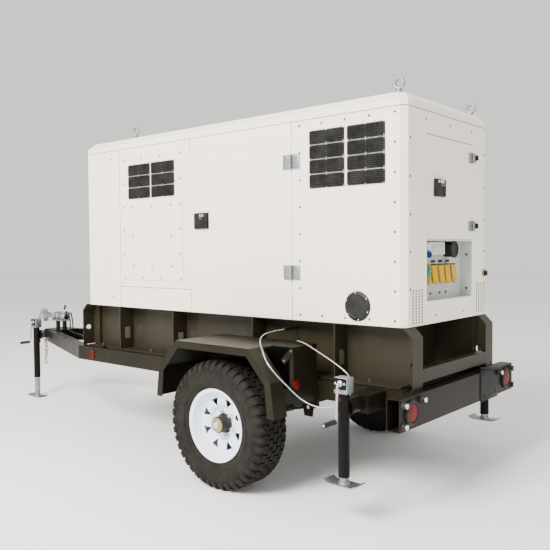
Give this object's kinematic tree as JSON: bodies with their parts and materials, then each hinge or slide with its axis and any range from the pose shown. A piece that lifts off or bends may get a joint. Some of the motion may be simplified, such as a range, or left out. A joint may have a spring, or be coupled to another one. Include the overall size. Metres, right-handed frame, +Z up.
{
  "type": "towable diesel generator",
  "caption": "Canopied diesel generating set on a single-axle trailer with screw jacks, mudguards, overrun coupling, side doors and a rear outlet panel",
  "frame": {"origin": "on the ground under the centre of the whole trailer", "axes": "+X towards the rear (outlet panel) end, +Y to the right-hand side, +Z up"},
  "size_m": [4.7411, 2.1326, 2.3825],
  "materials": {
    "canopy_paint": "satin powder coat, warm white",
    "chassis_paint": "gloss black-olive powder coat",
    "base_paint": "gloss black-olive powder coat",
    "jack_black": "black enamel",
    "zinc": "zinc plated",
    "hub_steel": "dull plated steel",
    "spring_steel": "painted spring steel",
    "rim_paint": "gloss white",
    "tyre": "moulded rubber",
    "lamp_lens": "red lens",
    "black_plastic": "moulded black plastic",
    "socket_tray": "light grey enclosure",
    "engine_paint": "blue engine enamel",
    "aluminium": "bare fins",
    "aluminium_sheet": "aluminised sheet",
    "control_case": "dark grey case",
    "wire_rope": "galvanised wire rope"
  },
  "bodies": {
    "chassis": {"left_rail": "chassis_paint", "right_rail": "chassis_paint", "front_cross_member": "chassis_paint", "rear_outrigger": "chassis_paint", "bumper_beam": "chassis_paint", "drawbar_nose": "chassis_paint", "coupler_housing": "zinc", "tie_cable": "wire_rope", "leaf_spring_left": "spring_steel", "leaf_spring_right": "spring_steel", "fender_left": "chassis_paint", "fender_right": "chassis_paint", "tail_lamp_left": "lamp_lens", "tail_lamp_right": "lamp_lens", "base_left": "base_paint", "base_right": "base_paint", "base_rear_channel": "base_paint", "fuel_tank": "base_paint", "engine_bed": "base_paint", "canopy_wall_left": "canopy_paint", "canopy_wall_right": "canopy_paint", "canopy_front_wall": "canopy_paint", "canopy_rear_wall": "canopy_paint", "canopy_roof": "canopy_paint", "service_panel_left": "canopy_paint", "service_panel_right": "canopy_paint", "socket_panel": "socket_tray", "engine_block": "engine_paint", "radiator": "aluminium", "alternator": "engine_paint", "battery": "black_plastic", "muffler": "aluminium_sheet", "control_unit": "control_case"},
    "axle": {"axle_beam": "chassis_paint"},
    "wheel_left": {"hub_left": "hub_steel", "rim_left": "rim_paint", "tyre_left": "tyre"},
    "wheel_right": {"hub_right": "hub_steel", "rim_right": "rim_paint", "tyre_right": "tyre"},
    "coupler_head": {"coupler_head": "zinc"},
    "coupler_latch": {"coupler_latch": "zinc"},
    "handbrake": {"handbrake_lever": "black_plastic"},
    "safety_chain": {"safety_chain": "zinc"},
    "side_door_left": {"side_door_left": "canopy_paint"},
    "side_door_right": {"side_door_right": "canopy_paint"},
    "control_door": {"control_door": "canopy_paint"},
    "side_latch_left": {"side_latch_left": "black_plastic"},
    "side_latch_right": {"side_latch_right": "black_plastic"},
    "control_latch": {"control_latch": "black_plastic"},
    "cooling_fan": {"cooling_fan": "black_plastic"},
    "jack_tube_left": {"jack_tube_left": "jack_black"},
    "jack_leg_left": {"jack_leg_left": "zinc"},
    "jack_crank_left": {"jack_crank_left": "zinc"},
    "jack_tube_right": {"jack_tube_right": "jack_black"},
    "jack_leg_right": {"jack_leg_right": "zinc"},
    "jack_crank_right": {"jack_crank_right": "zinc"},
    "jack_tube_front": {"jack_tube_front": "jack_black"},
    "jack_leg_front": {"jack_leg_front": "zinc"},
    "jack_crank_front": {"jack_crank_front": "zinc"}
  },
  "joints": [
    {"name": "axle_bounce", "type": "slide", "parent": "chassis", "child": "axle", "axis": [0, 0, 1], "range_m": [-0.05, 0.05], "stiffness_N_per_m": 350000, "springref_m": -0.05189, "deforming": ["leaf_spring_left", "leaf_spring_right"]},
    {"name": "wheel_spin_left", "type": "hinge", "parent": "axle", "child": "wheel_left", "pos_m": [1.2145, 0, 0.387], "axis": [0, 1, 0], "continuous": true},
    {"name": "wheel_spin_right", "type": "hinge", "parent": "axle", "child": "wheel_right", "pos_m": [1.2145, 0, 0.387], "axis": [0, 1, 0], "continuous": true},
    {"name": "coupler_overrun", "type": "slide", "parent": "chassis", "child": "coupler_head", "axis": [1, 0, 0], "range_m": [0, 0.04], "stiffness_N_per_m": 4000, "springref_m": -0.02},
    {"name": "coupler_latch_lift", "type": "hinge", "parent": "coupler_head", "child": "coupler_latch", "pos_m": [-2.2185, 0, 0.8363], "axis": [0, 1, 0], "range_deg": [0, 55], "stiffness_Nm_per_rad": 0.6, "springref_deg": -20.05},
    {"name": "handbrake_pull", "type": "hinge", "parent": "chassis", "child": "handbrake", "pos_m": [-1.8465, -0.024, 0.8313], "axis": [0, -1, 0], "range_deg": [0, 65]},
    {"name": "chain_swing", "type": "hinge", "parent": "chassis", "child": "safety_chain", "pos_m": [-1.8685, -0.205, 0.59], "axis": [0, 1, 0], "range_deg": [-30, 30]},
    {"name": "side_door_swing_left", "type": "hinge", "parent": "chassis", "child": "side_door_left", "pos_m": [1.4595, -0.544, 1.6], "axis": [0, 0, 1], "range_deg": [0, 110]},
    {"name": "side_door_swing_right", "type": "hinge", "parent": "chassis", "child": "side_door_right", "pos_m": [1.4595, 0.544, 1.6], "axis": [0, 0, -1], "range_deg": [0, 110]},
    {"name": "control_door_swing", "type": "hinge", "parent": "chassis", "child": "control_door", "pos_m": [2.2635, 0.306, 1.78], "axis": [0, 0, 1], "range_deg": [0, 110]},
    {"name": "side_latch_lift_left", "type": "hinge", "parent": "side_door_left", "child": "side_latch_left", "pos_m": [0.6665, -0.5448, 1.687], "axis": [-1, 0, 0], "range_deg": [0, 35], "stiffness_Nm_per_rad": 0.8, "springref_deg": -17.19},
    {"name": "side_latch_lift_right", "type": "hinge", "parent": "side_door_right", "child": "side_latch_right", "pos_m": [0.6665, 0.5448, 1.687], "axis": [1, 0, 0], "range_deg": [0, 35], "stiffness_Nm_per_rad": 0.8, "springref_deg": -17.19},
    {"name": "control_latch_lift", "type": "hinge", "parent": "control_door", "child": "control_latch", "pos_m": [2.2643, -0.15, 1.835], "axis": [0, -1, 0], "range_deg": [0, 35], "stiffness_Nm_per_rad": 0.8, "springref_deg": -17.19},
    {"name": "fan_spin", "type": "hinge", "parent": "chassis", "child": "cooling_fan", "pos_m": [0.0185, 0, 1.48], "axis": [1, 0, 0], "continuous": true},
    {"name": "jack_swivel_left", "type": "hinge", "parent": "chassis", "child": "jack_tube_left", "pos_m": [2.0895, -0.888, 0.6], "axis": [0, -1, 0], "range_deg": [0, 90]},
    {"name": "jack_leg_slide_left", "type": "slide", "parent": "jack_tube_left", "child": "jack_leg_left", "axis": [0, 0, -1], "range_m": [0, 0.35]},
    {"name": "jack_crank_turn_left", "type": "hinge", "parent": "jack_tube_left", "child": "jack_crank_left", "pos_m": [2.0895, -0.9223, 0.738], "axis": [0, -1, 0], "range_deg": [-20, 9020]},
    {"name": "jack_swivel_right", "type": "hinge", "parent": "chassis", "child": "jack_tube_right", "pos_m": [2.0895, 0.888, 0.6], "axis": [0, -1, 0], "range_deg": [0, 90]},
    {"name": "jack_leg_slide_right", "type": "slide", "parent": "jack_tube_right", "child": "jack_leg_right", "axis": [0, 0, -1], "range_m": [0, 0.35]},
    {"name": "jack_crank_turn_right", "type": "hinge", "parent": "jack_tube_right", "child": "jack_crank_right", "pos_m": [2.0895, 0.9223, 0.738], "axis": [0, 1, 0], "range_deg": [-20, 9020]},
    {"name": "jack_swivel_front", "type": "hinge", "parent": "chassis", "child": "jack_tube_front", "pos_m": [-2.0755, -0.185, 0.61], "axis": [0, 1, 0], "range_deg": [0, 90]},
    {"name": "jack_leg_slide_front", "type": "slide", "parent": "jack_tube_front", "child": "jack_leg_front", "axis": [0, 0, -1], "range_m": [-0.15, 0.2]},
    {"name": "jack_crank_turn_front", "type": "hinge", "parent": "jack_tube_front", "child": "jack_crank_front", "pos_m": [-2.0755, -0.2193, 0.738], "axis": [0, -1, 0], "range_deg": [-3877.1, 5162.9]}
  ],
  "couplings": [
    {"joint": "jack_crank_turn_left", "follows": "jack_leg_slide_left", "rad_per_m": 448.8},
    {"joint": "jack_crank_turn_right", "follows": "jack_leg_slide_right", "rad_per_m": 448.8},
    {"joint": "jack_crank_turn_front", "follows": "jack_leg_slide_front", "rad_per_m": 448.8}
  ]
}
